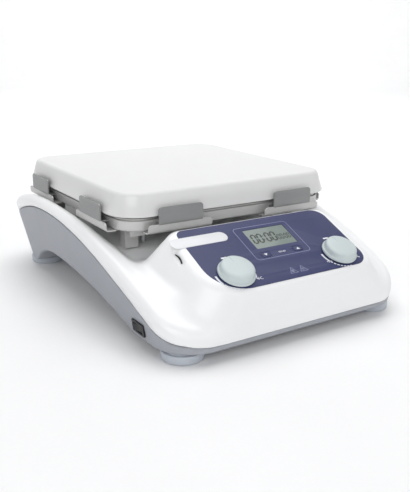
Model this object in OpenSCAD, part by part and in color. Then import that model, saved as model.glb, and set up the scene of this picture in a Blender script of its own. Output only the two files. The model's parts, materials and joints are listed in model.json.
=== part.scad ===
// Heating magnetic stirrer with a square top plate, assembled from separate pieces.
// Millimetres. +Z is up, the console faces -Y, the origin is the centre of the footprint on the table.

/* [Body] */
// Height of the plate's top face above the table
plate_top_z = 92; // [90:1:96]
// Half width of the body at its bottom edge
base_half_w = 97.7; // [96:0.1:100]
// Half width of the body at the crest of its rails
crest_half_w = 108.3; // [105:0.1:109]
// Front edge of the body at its bottom
base_front_y = -142.4; // [-145:0.1:-141]
// Rear edge of the body at its bottom
base_rear_y = 131.6; // [130:0.1:134]
// Height of the body's bottom edge over the table
base_z = 7.4; // [7.2:0.1:8.5]
// Wall thickness of both housings
wall = 2.5; // [2:0.5:2.5]
// Place along Y of the rails' highest point
crest_y = 50; // [48:1:52]
// Height of the rails' highest point
crest_z = 69.5; // [69:0.5:70.5]
// Rounding of the rails' outer shoulder
shoulder_r = 8; // [4:0.5:10]
// Radius of the crest towards the front
crest_front_r = 400; // [390:5:420]
// Radius of the crest towards the rear
crest_rear_r = 230; // [220:5:250]
// Height of the highest point of the line where the two housings meet
seam_z = 62.3; // [61:0.1:62.5]
// Height of the arch under the body
arch_z = 26.5; // [24:0.5:27]
// Height of the deck under the tray
deck_z = 50; // [49:0.5:50]

/* [Hotplate] */
// Middle of the top plate along Y
plate_y = 27; // [26:0.5:28]
// Half of the side of the square top plate, halfway down its skirt
plate_half = 92; // [88:0.5:92]
// Corner radius of the top plate
plate_corner_r = 21; // [14:1:24]
// Height of the plate's skirt
skirt_h = 16; // [14:0.5:17]
// Width of the grey tabs round the plate
tab_w = 35; // [30:1:38]
// Distance of each tab from the middle of its side
tab_offset = 49; // [44:1:52]

/* [Console] */
// Slope of the control panel
panel_tilt = 24.1; // [22:0.1:26]
// Place of the panel's upper edge along Y
panel_top_y = -82; // [-83:0.5:-81]
// Height of the panel's upper edge
panel_top_z = 68.3; // [67:0.1:69]
// Length of the panel down its slope
panel_len = 62.4; // [61:0.1:63]
// Half width of the blue panel
panel_half_w = 63; // [62:0.5:64]
// Distance of each knob from the middle plane
knob_x = 43.9; // [43:0.1:45]
// Distance of the knobs from the panel's upper edge
knob_s = 48.9; // [48:0.1:49.5]
// Radius of the knobs
knob_r = 12.6; // [12:0.1:13]
// Height of the knobs
knob_h = 7.6; // [7:0.1:9]

/* [Feet] */
// Distance of the feet from the middle plane
foot_x = 81; // [78:0.5:82]
// Place of the front feet along Y
foot_front_y = -123; // [-124:0.5:-120]
// Place of the rear feet along Y
foot_rear_y = 110; // [106:0.5:112]
// Radius of a foot
foot_r = 14; // [12:0.5:14]

/* [Hidden] */
$fn = 48;
BIG = 400;
GAP = 0.15;

white = [0.95, 0.95, 0.95];
grey = [0.59, 0.61, 0.64];
sheet_grey = [0.55, 0.56, 0.57];
foot_grey = [0.66, 0.69, 0.74];
panel_blue = [0.3, 0.32, 0.48];
knob_pale = [0.85, 0.89, 0.89];
steel = [0.75, 0.76, 0.78];
dark = [0.12, 0.12, 0.13];
board_green = [0.1, 0.35, 0.2];
copper = [0.72, 0.45, 0.25];
cream = [0.9, 0.88, 0.8];

// Heights of the stack under the top plate
plate_thick = 5;
plate_wall = 2.5;
skirt_flare = 1.6;
skirt_taper = 2.2;
plate_under_z = plate_top_z - plate_thick;
skirt_z = plate_top_z - skirt_h;
element_z = plate_under_z - 5;
clamp_z = element_z - 2;
shield_z = skirt_z - 2.6;
pad_z = shield_z + 0.8;
tray_z = deck_z + 15.5;
rim_z = tray_z + 7.5;
rim_inset = 2.5;
tray_top_z = tray_z + 5.5;
tab_top_z = tray_z + 17;
sheet = 1;
shield_half = 88;

// Motor and stirring magnet, on the plate's vertical axis
shaft_r = 3;
motor_z = 31;
mount_z = deck_z - 8;
bearing_h = 2.5;
carrier_z = deck_z + 12.5;
carrier_r = 38;
tray_hole_r = 45;

// Points and radii of the body's side view, from the driving dimensions
crest_apex = [crest_y, crest_z];
crest_r = [crest_front_r, crest_rear_r];
seam_apex = [40, seam_z];
arch_apex = [40, arch_z];
panel_top = [panel_top_y, panel_top_z];
foot_y = [foot_front_y, foot_rear_y];
// The walls lean outwards by this much for each millimetre of height
side_draft = (crest_half_w - base_half_w) / (crest_z - base_z);
front_draft = 0.136;
rear_draft = 0.2956;
hull_top_z = 75;

// Point of a circle's arc that hangs from its apex, dy away from it
function arc_z(apex, r, y) = apex[1] - r + sqrt(r * r - (y - apex[0]) * (y - apex[0]));
function steps(a, b, n) = [for (i = [0:n]) a + (b - a) * i / n];
// Height of the crest of the body at y
function crest_at(y) = arc_z(crest_apex, y < crest_apex[0] ? crest_r[0] : crest_r[1], y);

// The line where the housings meet: an arc that falls straight on at both ends and levels out at the front
seam_r = [275, 190];
seam_arc_y = [-60, 110];
seam_front_z = 13.2;
seam_fall = 0.43;
seam_ease = 1.2;
function seam_front(y) = seam_front_z
    + seam_ease * ln(1 + exp((29.6 - seam_front_z + seam_fall * (y + 95)) / seam_ease));
function seam_slope(y, r) = (y - seam_apex[0]) / sqrt(r * r - (y - seam_apex[0]) * (y - seam_apex[0]));
function seam_line(y, y0, r) = arc_z(seam_apex, r, y0) - (y - y0) * seam_slope(y0, r);
seam_pts = concat(
    [[-BIG, seam_front_z], [-144, seam_front_z]],
    [for (y = [-140, -136, -132, -127, -121, -114, -95, -80]) [y, seam_front(y)]],
    [for (y = steps(seam_arc_y[0], seam_apex[0], 8)) [y, arc_z(seam_apex, seam_r[0], y)]],
    [for (y = steps(seam_apex[0] + 10, seam_arc_y[1], 6)) [y, arc_z(seam_apex, seam_r[1], y)]],
    [[BIG, seam_line(BIG, seam_arc_y[1], seam_r[1])]]
);

// The arch under the body
arch_r = [420, 75];
function arch_reach(r) = sqrt(r * r - (r - arch_apex[1] + base_z) * (r - arch_apex[1] + base_z));
arch_y = [arch_apex[0] - arch_reach(arch_r[0]), arch_apex[0] + arch_reach(arch_r[1])];
arch_pts = concat(
    [for (y = steps(arch_y[0], arch_apex[0], 10)) [y, arc_z(arch_apex, arch_r[0], y)]],
    [for (y = steps(arch_apex[0] + 6, arch_y[1], 7)) [y, arc_z(arch_apex, arch_r[1], y)]]
);
crest_pts = concat(
    [for (y = steps(-160, crest_apex[0], 18)) [y, crest_at(y)]],
    [for (y = steps(crest_apex[0] + 15, 160, 6)) [y, crest_at(y)]]
);
// The trough between the rails: its floor from the front to the rear, and its half width
trough_pts = [
    [-126, 28.5], [-62, deck_z - 5], [-52, deck_z - 1.4], [-44, deck_z], [110, deck_z], [128, deck_z - 4]
];
trough_half = 97;
function trough_at(y) = lookup(y, trough_pts);

// Console outlines, in the panel's own frame: rear, front and half width at the top and at the foot
lip = 5;
console_foot_h = 30;
console_top = [2.5, panel_len + 1.6, panel_half_w + lip];
console_foot = [1, panel_len + 17.3, panel_half_w + lip + 23];
panel_corners = [6, 10, 12, 24];
overlay_t = 0.5;

// Places on the panel: across, then down the slope
lcd_at = [3.5, 20.2];
lcd_size = [35, 20];
key_at = [[-11.5, 36.8], [16, 36.8]];
key_size = [7, 4.6];
key_travel = 0.5;
lamp_at = [[-2.5, 56], [6, 56]];
lamp_r = 1.4;
slot_at = [-70, 22];
badge_end = -28;
badge_w = 44;
badge_h = 9.8;
badge_s = 12.2;
board_h = 12;
board_t = 1.6;
board_screw_at = [[-57, 8], [57, 8], [-27, 57], [27, 57]];
pot_h = 7;
bushing_r = 4.6;
pot_shaft_r = 3;

// Screws and bosses
screw_at = [[86, -88], [86, 100]];
screw_split_z = 24;
standoff_at = 60;
rod_at = [-60, 131];
rod_hole_r = 4.25;
rod_boss_top = 57;
rod_len = 25;

// Side switch, in the left wall
rocker_y = -100;
rocker_z = 15.2;
rocker_frame_size = [15.5, 8.8];
rocker_size = [11.5, 5.8];
rocker_wall_x = -(base_half_w + side_draft * (rocker_z - base_z));

// Rear bay with the inlet, the fuse drawer and the probe socket
bay_x = [-36, 58];
bay_z = [11, 34];
bay_y = 131;
inlet_x = 10;
drawer_x = 42;
probe_x = -22;
probe_r = 1.8;
bay_mid_z = (bay_z[0] + bay_z[1]) / 2;

// Circuit board beside the motor
main_board_x = [-95, -48];
main_board_y = [-46, 74];
main_board_z = 34;
main_board_screw_at = [[-89, -38], [-54, -38], [-89, 66], [-54, 66]];
part_z = main_board_z + board_t;
part_h = deck_z - wall - part_z - 1;
motor_screw_at = 34;

// What a rounding of radius r takes off a corner at the top left
module corner_cut(r) {
    difference() {
        translate([-1, -r]) square(r + 1);
        translate([r, -r]) circle(r);
    }
}

// Flat rectangle with its own radius at each corner: rear left, rear right, front right, front left
module corner_rect(x0, x1, y0, y1, r) {
    difference() {
        translate([x0, y0]) square([x1 - x0, y1 - y0]);
        translate([x0, y1]) corner_cut(r[0]);
        translate([x1, y1]) rotate(-90) corner_cut(r[1]);
        translate([x1, y0]) rotate(180) corner_cut(r[2]);
        translate([x0, y0]) rotate(90) corner_cut(r[3]);
    }
}

module rounded_square(half, r) {
    corner_rect(-half, half, -half, half, [r, r, r, r]);
}

module at_plate(z) {
    translate([0, plate_y, z]) children();
}

module four(x, y) {
    for (sx = [-1, 1], sy = [-1, 1]) translate([sx * x, sy * y, 0]) children();
}

module mirrored_x() {
    children();
    mirror([1, 0, 0]) children();
}

// The panel's frame: local +Y runs up the slope, local +Z is its normal
module on_panel() {
    translate([0, panel_top[0], panel_top[1]]) rotate([panel_tilt, 0, 0]) children();
}

module panel_spot(at, h) {
    translate([at[0], -at[1], h]) children();
}

// A side outline given as [y, z] points, extruded across the body
module across(pts, half) {
    translate([-half, 0, 0]) rotate([90, 0, 90]) linear_extrude(2 * half) polygon(pts);
}

module body_slab(z, inset) {
    w = base_half_w + side_draft * (z - base_z) - inset;
    y0 = base_front_y - front_draft * (z - base_z) + inset;
    y1 = base_rear_y + rear_draft * (z - base_z) - inset;
    translate([0, 0, z]) linear_extrude(0.01)
        corner_rect(-w, w, y0, y1, [38 - inset, 38 - inset, 28 - inset, 28 - inset]);
}

module body_hull(inset) {
    hull($fn = 32) {
        body_slab(base_z - 1, inset, $fn = 32);
        body_slab(hull_top_z, inset, $fn = 32);
    }
}

module console_slab(outline, h, inset) {
    translate([0, 0, h]) linear_extrude(0.01) corner_rect(
        inset - outline[2], outline[2] - inset, inset - outline[1], outline[0] - inset,
        [10, 12, 15, 26]
    );
}

module console_hull(inset) {
    on_panel() hull($fn = 32) {
        console_slab(console_top, -inset, inset, $fn = 32);
        console_slab(console_foot, -console_foot_h, inset, $fn = 32);
    }
}

// The trough between the rails and over the deck
module trough_plan(grow) {
    translate([0, 0, 36]) linear_extrude(54) corner_rect(
        -trough_half - grow, trough_half + grow, -126 - grow, 128 + grow, [28, 28, 30, 30]
    );
}

module trough(grow) {
    intersection() {
        across(
            concat(
                [for (p = trough_pts) [p[0], p[1] - grow]],
                [[140, 42], [140, 90], [-140, 90], [-140, 24]]
            ),
            trough_half + 10
        );
        translate([0, 0, -10]) trough_plan(grow);
    }
}

// The rails' outline from the side, as a thin sheet inset from the sloping wall and dropped from the crest
module rail_sheet(inset, drop) {
    lean = atan(side_draft);
    mirrored_x() translate([base_half_w - inset, 0, base_z]) rotate([0, lean, 0])
        rotate([90, 0, 90]) linear_extrude(0.01) polygon(concat(
            [[160, -20], [-160, -20]],
            [for (p = crest_pts) [p[0], (p[1] - drop - base_z) / cos(lean)]]
        ));
}

// Space under the crest, with the rails' shoulders rounded
module crest_hull(inset) {
    hull() {
        for (a = [0:22.5:90])
            rail_sheet(inset + shoulder_r * (1 - cos(a)), inset + shoulder_r * (1 - sin(a)));
    }
}

module above_seam() {
    across(concat(seam_pts, [[BIG, 200], [-BIG, 200]]), BIG / 2);
}

module upper_outside() {
    difference() {
        intersection() {
            body_hull(0);
            crest_hull(0);
        }
        trough(0);
    }
    console_hull(0);
    translate([rod_at[0], rod_at[1], 40]) cylinder(r = 12, h = rod_boss_top - 40);
}

module upper_inside() {
    difference() {
        intersection() {
            body_hull(wall);
            crest_hull(wall);
        }
        trough(wall);
        translate([rod_at[0], rod_at[1], 30]) cylinder(r = 10.5, h = 40);
    }
    console_hull(wall);
}

module lower_housing() {
    color(grey) difference() {
        union() {
            difference() {
                intersection() {
                    body_hull(0);
                    across(
                        concat([[-160, base_z], [-160, seam_front_z]], seam_body(), [[160, base_z]]),
                        120
                    );
                }
                difference() {
                    body_hull(wall);
                    across(concat([[-160, -10]], floor_pts(), [[160, -10]]), 120);
                }
            }
            lower_bosses();
            translate([bay_x[0] - wall, bay_y - 6, bay_z[0] - 2])
                cube([bay_x[1] - bay_x[0] + 2 * wall, 8, bay_z[1] - bay_z[0] + 2 + wall]);
        }
        across(concat([[arch_y[0], -5]], arch_pts, [[arch_y[1], -5]]), 120);
        for (y = foot_y) mirrored_x() translate([foot_x, y, 0]) cylinder(r = 2.2, h = 40);
        for (p = screw_at) mirrored_x() translate([p[0], p[1], 0]) {
            cylinder(r = 1.9, h = 60);
            cylinder(r = 3.6, h = base_z + 3);
        }
        translate([bay_x[0], bay_y - 8, bay_z[0]]) cube([bay_x[1] - bay_x[0], 40, bay_z[1] - bay_z[0]]);
        on_side() cube([30, rocker_size[0] + 1.8, rocker_size[1] + 1.4], center = true);
        at_plate(0) for (x = [-36:12:36]) translate([x, 40, 0]) cube([4, 30, 80], center = true);
    }
}

// The seam's points that lie over the body, for the lower housing's upper edge
function seam_body() = [for (p = seam_pts) if (abs(p[0]) < 160) p];
// The floor's upper face: flat, with the arch raised by the wall's thickness
function floor_pts() = concat(
    [[-160, base_z + wall], [arch_y[0] - 8, base_z + wall]],
    [for (p = arch_pts) if (p[0] > arch_y[0] + 1 && p[0] < arch_y[1] - 1) [p[0], p[1] + wall]],
    [[arch_y[1] + 3, base_z + wall], [160, base_z + wall]]
);

module lower_bosses() {
    for (p = screw_at) mirrored_x() translate([p[0], p[1], base_z + 1])
        cylinder(r = 4.5, h = screw_split_z - base_z - 1);
    for (y = foot_y) mirrored_x() translate([foot_x, y, base_z + 1]) cylinder(r = 6, h = 7);
}

module upper_housing() {
    color(white) difference() {
        union() {
            difference() {
                intersection() {
                    upper_outside();
                    union() {
                        above_seam();
                        trough_plan(wall + 0.1);
                    }
                }
                upper_inside();
            }
            for (p = screw_at) mirrored_x() translate([p[0], p[1], screw_split_z])
                cylinder(r = 4.5, h = trough_at(p[1]) - screw_split_z - 1);
            on_panel() for (p = board_screw_at) panel_spot(p, -board_h) cylinder(r = 3, h = board_h - 1);
            for (p = main_board_screw_at) translate([p[0], p[1], main_board_z + board_t])
                cylinder(r = 3, h = deck_z - 1 - main_board_z - board_t);
        }
        for (p = screw_at) mirrored_x() translate([p[0], p[1], 0])
            cylinder(r = 1.5, h = screw_split_z + 10);
        on_panel() panel_cuts();
        at_plate(deck_z - 10) cylinder(r = 12, h = 20);
        at_plate(deck_z - 10) four(standoff_at, standoff_at) cylinder(r = 2.2, h = 20);
        at_plate(deck_z - 10) four(motor_screw_at, motor_screw_at) cylinder(r = 2.2, h = 20);
        for (p = main_board_screw_at) translate([p[0], p[1], 0]) cylinder(r = 1.3, h = deck_z - 5);
        translate([rod_at[0], rod_at[1], 20]) cylinder(r = 8, h = 60);
    }
}

module overlay_outline(shrink) {
    corner_rect(
        shrink - panel_half_w, panel_half_w - shrink, shrink - panel_len, -shrink,
        panel_corners
    );
}

module panel_cuts() {
    translate([0, 0, -overlay_t]) linear_extrude(5) overlay_outline(0);
    panel_spot(lcd_at, -5) linear_extrude(10) square(lcd_size + [0.6, 0.6], center = true);
    for (p = key_at) panel_spot(p, -5) linear_extrude(10) square(key_size + [0.8, 0.8], center = true);
    for (p = lamp_at) panel_spot(p, -5) cylinder(r = lamp_r + 0.3, h = 10);
    for (p = board_screw_at) panel_spot(p, -board_h - 1) cylinder(r = 1.3, h = 8);
    for (x = [-knob_x, knob_x]) panel_spot([x, knob_s], -5) cylinder(r = bushing_r + GAP, h = 10);
    panel_spot([slot_at[0], slot_at[1]], -5) rotate([0, -54, 0]) linear_extrude(12, center = true)
        corner_rect(-1, 1, -5, 5, [0.9, 0.9, 0.9, 0.9]);
}

module foot() {
    color(foot_grey) difference() {
        rotate_extrude() polygon([
            [0, 0], [foot_r - 1, 0], [foot_r, 1], [foot_r, base_z - 2], [foot_r - 0.6, base_z - 1.4],
            [foot_r - 2, base_z - 1.4], [foot_r - 2, base_z], [0, base_z]
        ]);
        translate([0, 0, -1]) cylinder(r = 2.3, h = 20);
        translate([0, 0, -1]) cylinder(r = 5, h = 4);
    }
}

module foot_front_left() { translate([-foot_x, foot_y[0], 0]) foot(); }
module foot_front_right() { translate([foot_x, foot_y[0], 0]) foot(); }
module foot_rear_left() { translate([-foot_x, foot_y[1], 0]) foot(); }
module foot_rear_right() { translate([foot_x, foot_y[1], 0]) foot(); }

module foot_screws() {
    color(steel) for (y = foot_y) mirrored_x() translate([foot_x, y, 0]) {
        translate([0, 0, 1]) cylinder(r = 4.2, h = 2);
        translate([0, 0, 3]) cylinder(r = 2.05, h = 12);
    }
}

module housing_screws() {
    color(steel) for (p = screw_at) mirrored_x() translate([p[0], p[1], 0]) {
        translate([0, 0, base_z + 0.8]) cylinder(r = 3.3, h = 2.2);
        translate([0, 0, base_z + 3]) cylinder(r = 1.35, h = screw_split_z + 5 - base_z);
    }
}

module skirt_solid(inset, z0, z1) {
    hull($fn = 48) {
        at_plate(z1 - 0.01) linear_extrude(0.01)
            rounded_square(
                plate_half - skirt_taper - inset, plate_corner_r - skirt_taper - inset, $fn = 48
            );
        at_plate(z0) linear_extrude(0.01)
            rounded_square(plate_half + skirt_flare - inset, plate_corner_r - inset, $fn = 48);
    }
}

module top_plate() {
    color(white) difference() {
        union() {
            difference() {
                skirt_solid(0, skirt_z, plate_top_z);
                skirt_solid(plate_wall, skirt_z - 1, plate_under_z);
            }
            at_plate(clamp_z + 2) four(standoff_at, standoff_at)
                cylinder(r = 6, h = plate_under_z - clamp_z - 1);
        }
        at_plate(clamp_z) four(standoff_at, standoff_at) cylinder(r = 2.05, h = 7);
    }
}

// A folded channel along the tray's edge that carries one upright tab
module tab_channel() {
    half = tab_w / 2 + 8;
    translate([-half, plate_half - 4, tray_z]) cube([2 * half, 7, sheet]);
    translate([-half, plate_half + 2, tray_z]) cube([2 * half, sheet, tray_top_z - tray_z]);
    translate([-half, plate_half + 2, tray_top_z - sheet]) cube([2 * half, 2, sheet]);
    translate([-tab_w / 2, plate_half - 10, tray_top_z - sheet]) cube([tab_w, 14, sheet]);
    translate([tab_w / 2, plate_half + 3.2, tray_top_z - 1]) rotate([90, 0, 180]) linear_extrude(sheet)
        corner_rect(0, tab_w, 0, tab_top_z - tray_top_z + 1, [2.5, 2.5, 0.4, 0.4]);
}

// The tray: a floor with an upright rim under the plate, and two tab channels on each side
module plate_tray() {
    color(sheet_grey) at_plate(0) difference() {
        union() {
            translate([0, 0, tray_z]) linear_extrude(sheet)
                rounded_square(plate_half - rim_inset, plate_corner_r - rim_inset);
            translate([0, 0, tray_z]) linear_extrude(rim_z - tray_z) difference() {
                rounded_square(plate_half - rim_inset, plate_corner_r - rim_inset);
                rounded_square(plate_half - rim_inset - sheet, plate_corner_r - rim_inset - sheet);
            }
            for (a = [0, 90, 180, 270]) rotate([0, 0, a])
                for (s = [-1, 1]) translate([s * tab_offset, 0, 0]) tab_channel();
        }
        translate([0, 0, tray_z - 1]) cylinder(r = tray_hole_r, h = 5);
        translate([0, 0, tray_z - 1]) four(standoff_at, standoff_at) cylinder(r = 2.2, h = 5);
    }
}

// Posts between deck and tray, each with a bracket that reaches out under the tray's corner
module tray_legs() {
    color(steel) for (y = [-1, 1]) mirrored_x() translate([70, plate_y + y * 68, 0]) {
        translate([0, -4, deck_z]) cube([10, 8, tray_z - deck_z]);
        translate([-6, y > 0 ? -4 : -16, tray_z - 1.2]) cube([18, 20, 1.2]);
        translate([-6, y > 0 ? 14.8 : -16, tray_z - 4]) cube([18, 1.2, 4]);
    }
}

module heat_shield() {
    color(steel) at_plate(0) difference() {
        union() {
            translate([0, 0, shield_z]) linear_extrude(0.8) rounded_square(shield_half, plate_corner_r - 4);
            translate([0, 0, shield_z - 1.6]) linear_extrude(1.7) difference() {
                rounded_square(shield_half, plate_corner_r - 4);
                rounded_square(shield_half - 0.8, plate_corner_r - 4.8);
            }
        }
        translate([0, 0, shield_z - 5]) four(standoff_at, standoff_at) cylinder(r = 2.2, h = 10);
        translate([0, 70, shield_z - 5]) cylinder(r = 6, h = 10);
    }
}

module heating_element() {
    color(copper) at_plate(element_z + GAP) difference() {
        cylinder(r = 76, h = plate_under_z - element_z - 2 * GAP);
        translate([0, 0, -1]) cylinder(r = 30, h = 10);
        for (r = [40, 53, 66]) translate([0, 0, -1]) difference() {
            cylinder(r = r + 2, h = 3.5);
            translate([0, 0, -1]) cylinder(r = r - 2, h = 8);
        }
        four(standoff_at, standoff_at) translate([0, 0, -1]) cylinder(r = 6.5, h = 10);
    }
}

module element_clamp() {
    color(steel) at_plate(clamp_z) difference() {
        linear_extrude(2) rounded_square(78, 12);
        translate([0, 0, -1]) cylinder(r = 30, h = 10);
        four(standoff_at, standoff_at) translate([0, 0, -1]) cylinder(r = 2.2, h = 10);
        translate([0, 70, -1]) cylinder(r = 6, h = 10);
    }
}

module insulation_pad() {
    color(cream) at_plate(pad_z) difference() {
        linear_extrude(clamp_z - pad_z) rounded_square(82, 14);
        four(standoff_at, standoff_at) translate([0, 0, -1]) cylinder(r = 2.2, h = 10);
        translate([0, 70, -1]) cylinder(r = 6, h = 10);
    }
}

module plate_standoffs() {
    color(cream) at_plate(0) four(standoff_at, standoff_at) difference() {
        translate([0, 0, tray_z + sheet]) cylinder(r = 5.5, h = shield_z - tray_z - sheet);
        cylinder(r = 2.2, h = 90);
    }
}

module plate_screws() {
    color(steel) at_plate(0) four(standoff_at, standoff_at) {
        translate([0, 0, deck_z - wall - 2.4]) cylinder(r = 4, h = 2.4);
        translate([0, 0, deck_z - wall]) cylinder(r = 2, h = clamp_z + 6 - deck_z + wall);
    }
}

module plate_sensor() {
    color(steel) at_plate(clamp_z) translate([0, 10, 0]) {
        cylinder(r = 4, h = plate_under_z - clamp_z);
        translate([-1.5, 0, 0]) cube([3, 16, 2]);
    }
}

module thermal_cutout() {
    color(dark) at_plate(0) translate([0, 70, 0]) {
        translate([0, 0, pad_z - 3]) cylinder(r = 5.5, h = element_z - pad_z + 3);
        translate([-4.5, -1.5, pad_z - 7]) cube([2, 3, 5]);
        translate([2.5, -1.5, pad_z - 7]) cube([2, 3, 5]);
    }
}

module panel_overlay() {
    color(panel_blue) on_panel() difference() {
        translate([0, 0, -overlay_t]) linear_extrude(overlay_t) overlay_outline(GAP);
        panel_spot(lcd_at, -2) linear_extrude(5) square(lcd_size + [0.2, 0.2], center = true);
        for (p = key_at) panel_spot(p, -2) linear_extrude(5) square(key_size + [0.6, 0.6], center = true);
        for (p = lamp_at) panel_spot(p, -2) cylinder(r = lamp_r + 0.1, h = 5);
        for (x = [-knob_x, knob_x]) panel_spot([x, knob_s], -2) cylinder(r = bushing_r + GAP, h = 5);
    }
}

module badge_plate() {
    r = badge_h / 2;
    color(white) on_panel() translate([0, -badge_s, 0.02]) linear_extrude(0.4) difference() {
        translate([badge_end - badge_w, 0]) corner_rect(0, badge_w, -r, r, [r, r, r, r]);
        translate([badge_end - badge_w / 2, 0])
            corner_rect(-badge_w / 2 + 3, badge_w / 2 - 3, -0.3, 0.3, [0.2, 0.2, 0.2, 0.2]);
    }
}

module lcd_window() {
    color([0.65, 0.7, 0.63]) on_panel() panel_spot(lcd_at, 0) {
        translate([0, 0, -2.5]) linear_extrude(2.4) square(lcd_size, center = true);
        translate([0, 0, -3.3]) linear_extrude(0.8) square(lcd_size + [4, 4], center = true);
    }
}

module lcd_module() {
    color(dark) on_panel() panel_spot(lcd_at, 0) translate([0, 0, -board_h])
        linear_extrude(board_h - 3.4) square(lcd_size + [6, 5], center = true);
}

module key_cap(p) {
    color(panel_blue) on_panel() panel_spot(p, 0) {
        translate([0, 0, -3]) linear_extrude(3.3) corner_rect(
            -key_size[0] / 2, key_size[0] / 2, -key_size[1] / 2, key_size[1] / 2, [1, 1, 1, 1]
        );
        translate([0, 0, -3.8]) linear_extrude(0.9) square(key_size + [2.4, 2.4], center = true);
    }
}

module key_timer_down() { key_cap(key_at[0]); }
module key_timer_up() { key_cap(key_at[1]); }

module key_switches() {
    color(dark) on_panel() for (p = key_at) panel_spot(p, -board_h) {
        linear_extrude(5) square(6, center = true);
        translate([0, 0, 5]) cylinder(r = 1.6, h = board_h - 3.8 - key_travel - 0.1 - 5);
    }
}

module indicator_lamps() {
    color("red") on_panel() for (p = lamp_at) panel_spot(p, -board_h) {
        cylinder(r = lamp_r, h = board_h + 0.1);
        cylinder(r = 2.2, h = 3);
    }
}

module knob(x) {
    color(knob_pale) on_panel() panel_spot([x, knob_s], 0) difference() {
        rotate_extrude() polygon([
            [0, 0.8], [knob_r - 0.6, 0.8], [knob_r, 1.4], [knob_r, 2.6], [knob_r - 1, knob_h - 1.6],
            [knob_r - 2.2, knob_h - 0.5], [knob_r - 4, knob_h], [0, knob_h]
        ]);
        cylinder(r = 8, h = 3.4);
        cylinder(r = pot_shaft_r + 0.02, h = knob_h - 1.5);
    }
}

module temp_knob() { knob(-knob_x); }
module speed_knob() { knob(knob_x); }

module pot_shaft(x) {
    color(steel) on_panel() panel_spot([x, knob_s], -board_h + 2)
        cylinder(r = pot_shaft_r, h = board_h + knob_h - 3.8);
}

module temp_pot_shaft() { pot_shaft(-knob_x); }
module speed_pot_shaft() { pot_shaft(knob_x); }

module pot_bodies() {
    color(steel) on_panel() for (x = [-knob_x, knob_x]) panel_spot([x, knob_s], 0) difference() {
        union() {
            translate([-8, -7, -board_h]) cube([16, 14, pot_h]);
            translate([0, 0, pot_h - board_h]) cylinder(r = bushing_r, h = board_h - pot_h + 2.6);
        }
        translate([0, 0, 1.7 - board_h]) cylinder(r = pot_shaft_r + 0.05, h = 30);
    }
}

module pot_nuts() {
    color(steel) on_panel() for (x = [-knob_x, knob_x]) panel_spot([x, knob_s], 0.02) difference() {
        cylinder(r = 7, h = 2, $fn = 6);
        translate([0, 0, -1]) cylinder(r = bushing_r + 0.05, h = 5);
    }
}

module control_board() {
    color(board_green) on_panel() translate([0, 0, -board_h - board_t]) difference() {
        linear_extrude(board_t) corner_rect(-61, 61, -60, -4, [2, 2, 8, 8]);
        for (p = board_screw_at) panel_spot(p, -1) cylinder(r = 1.6, h = 5);
    }
}

module control_board_screws() {
    color(steel) on_panel() for (p = board_screw_at) panel_spot(p, -board_h - board_t) {
        translate([0, 0, -1.7]) cylinder(r = 2.8, h = 1.7);
        cylinder(r = 1.25, h = board_t + 6);
    }
}

module buzzer() {
    color(dark) on_panel() panel_spot([-52, 20], -board_h) difference() {
        cylinder(r = 6, h = 5);
        translate([0, 0, 3]) cylinder(r = 1, h = 5);
    }
}

module ribbon_cable() {
    color([0.7, 0.7, 0.72]) translate([-58, 0, 0]) rotate([90, 0, 90]) linear_extrude(18) polygon([
        [-97, 46.2], [-96, 46.2], [-94.5, 38.2], [-42, 36.4], [-42, 35.6], [-95.5, 37.4]
    ]);
}

module main_board() {
    color(board_green) difference() {
        translate([main_board_x[0], main_board_y[0], main_board_z])
            cube([main_board_x[1] - main_board_x[0], main_board_y[1] - main_board_y[0], board_t]);
        for (p = main_board_screw_at) translate([p[0], p[1], 20]) cylinder(r = 1.6, h = 30);
    }
}

module main_board_screws() {
    color(steel) for (p = main_board_screw_at) translate([p[0], p[1], main_board_z]) {
        translate([0, 0, -1.7]) cylinder(r = 2.8, h = 1.7);
        cylinder(r = 1.25, h = board_t + 6);
    }
}

module filter_capacitor() {
    color(dark) translate([-80, -14, part_z]) cylinder(r = 8, h = part_h);
}

module heater_relay() {
    color(dark) translate([-91, 14, part_z]) cube([20, 28, part_h]);
}

module triac_heatsink() {
    color(steel) translate([-66, 8, part_z]) difference() {
        cube([14, 44, part_h]);
        for (y = [3:6:40]) translate([-1, y, 3]) cube([16, 3, 20]);
    }
}

module transformer() {
    color(copper) translate([14, -125, base_z + wall]) {
        cube([50, 30, 20]);
        translate([-5, 4, 0]) cube([60, 22, 18]);
    }
}

// The side switch stands square to the sloping wall
module on_side() {
    translate([rocker_wall_x, rocker_y, rocker_z]) rotate([0, -atan(side_draft), 0]) children();
}

module rocker_frame() {
    color(dark) on_side() difference() {
        union() {
            translate([-1.3, -rocker_frame_size[0] / 2, -rocker_frame_size[1] / 2])
                cube([1.2, rocker_frame_size[0], rocker_frame_size[1]]);
            translate([-0.2, -rocker_size[0] / 2 - 0.7, -rocker_size[1] / 2 - 0.5])
                cube([16, rocker_size[0] + 1.4, rocker_size[1] + 1]);
        }
        translate([-5, -rocker_size[0] / 2, -rocker_size[1] / 2])
            cube([14, rocker_size[0], rocker_size[1]]);
        translate([3, 0, -10]) cylinder(r = 1.05, h = 20);
    }
}

module power_rocker() {
    color(dark) on_side() {
        intersection() {
            translate([3, 0, -rocker_size[1] / 2 + 0.3]) rotate([0, 0, 6]) difference() {
                translate([-5.5, -rocker_size[0] / 2 + 0.8, 0])
                    cube([9, rocker_size[0] - 1.6, rocker_size[1] - 0.6]);
                translate([-26, 0, -1]) cylinder(r = 21.4, h = 20);
            }
            translate([3, 0, -10]) cylinder(r = rocker_size[0] / 2 - 0.4, h = 20);
        }
        translate([3, 0, -rocker_size[1] / 2 - 0.4]) cylinder(r = 1, h = rocker_size[1] + 0.8);
    }
}

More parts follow.
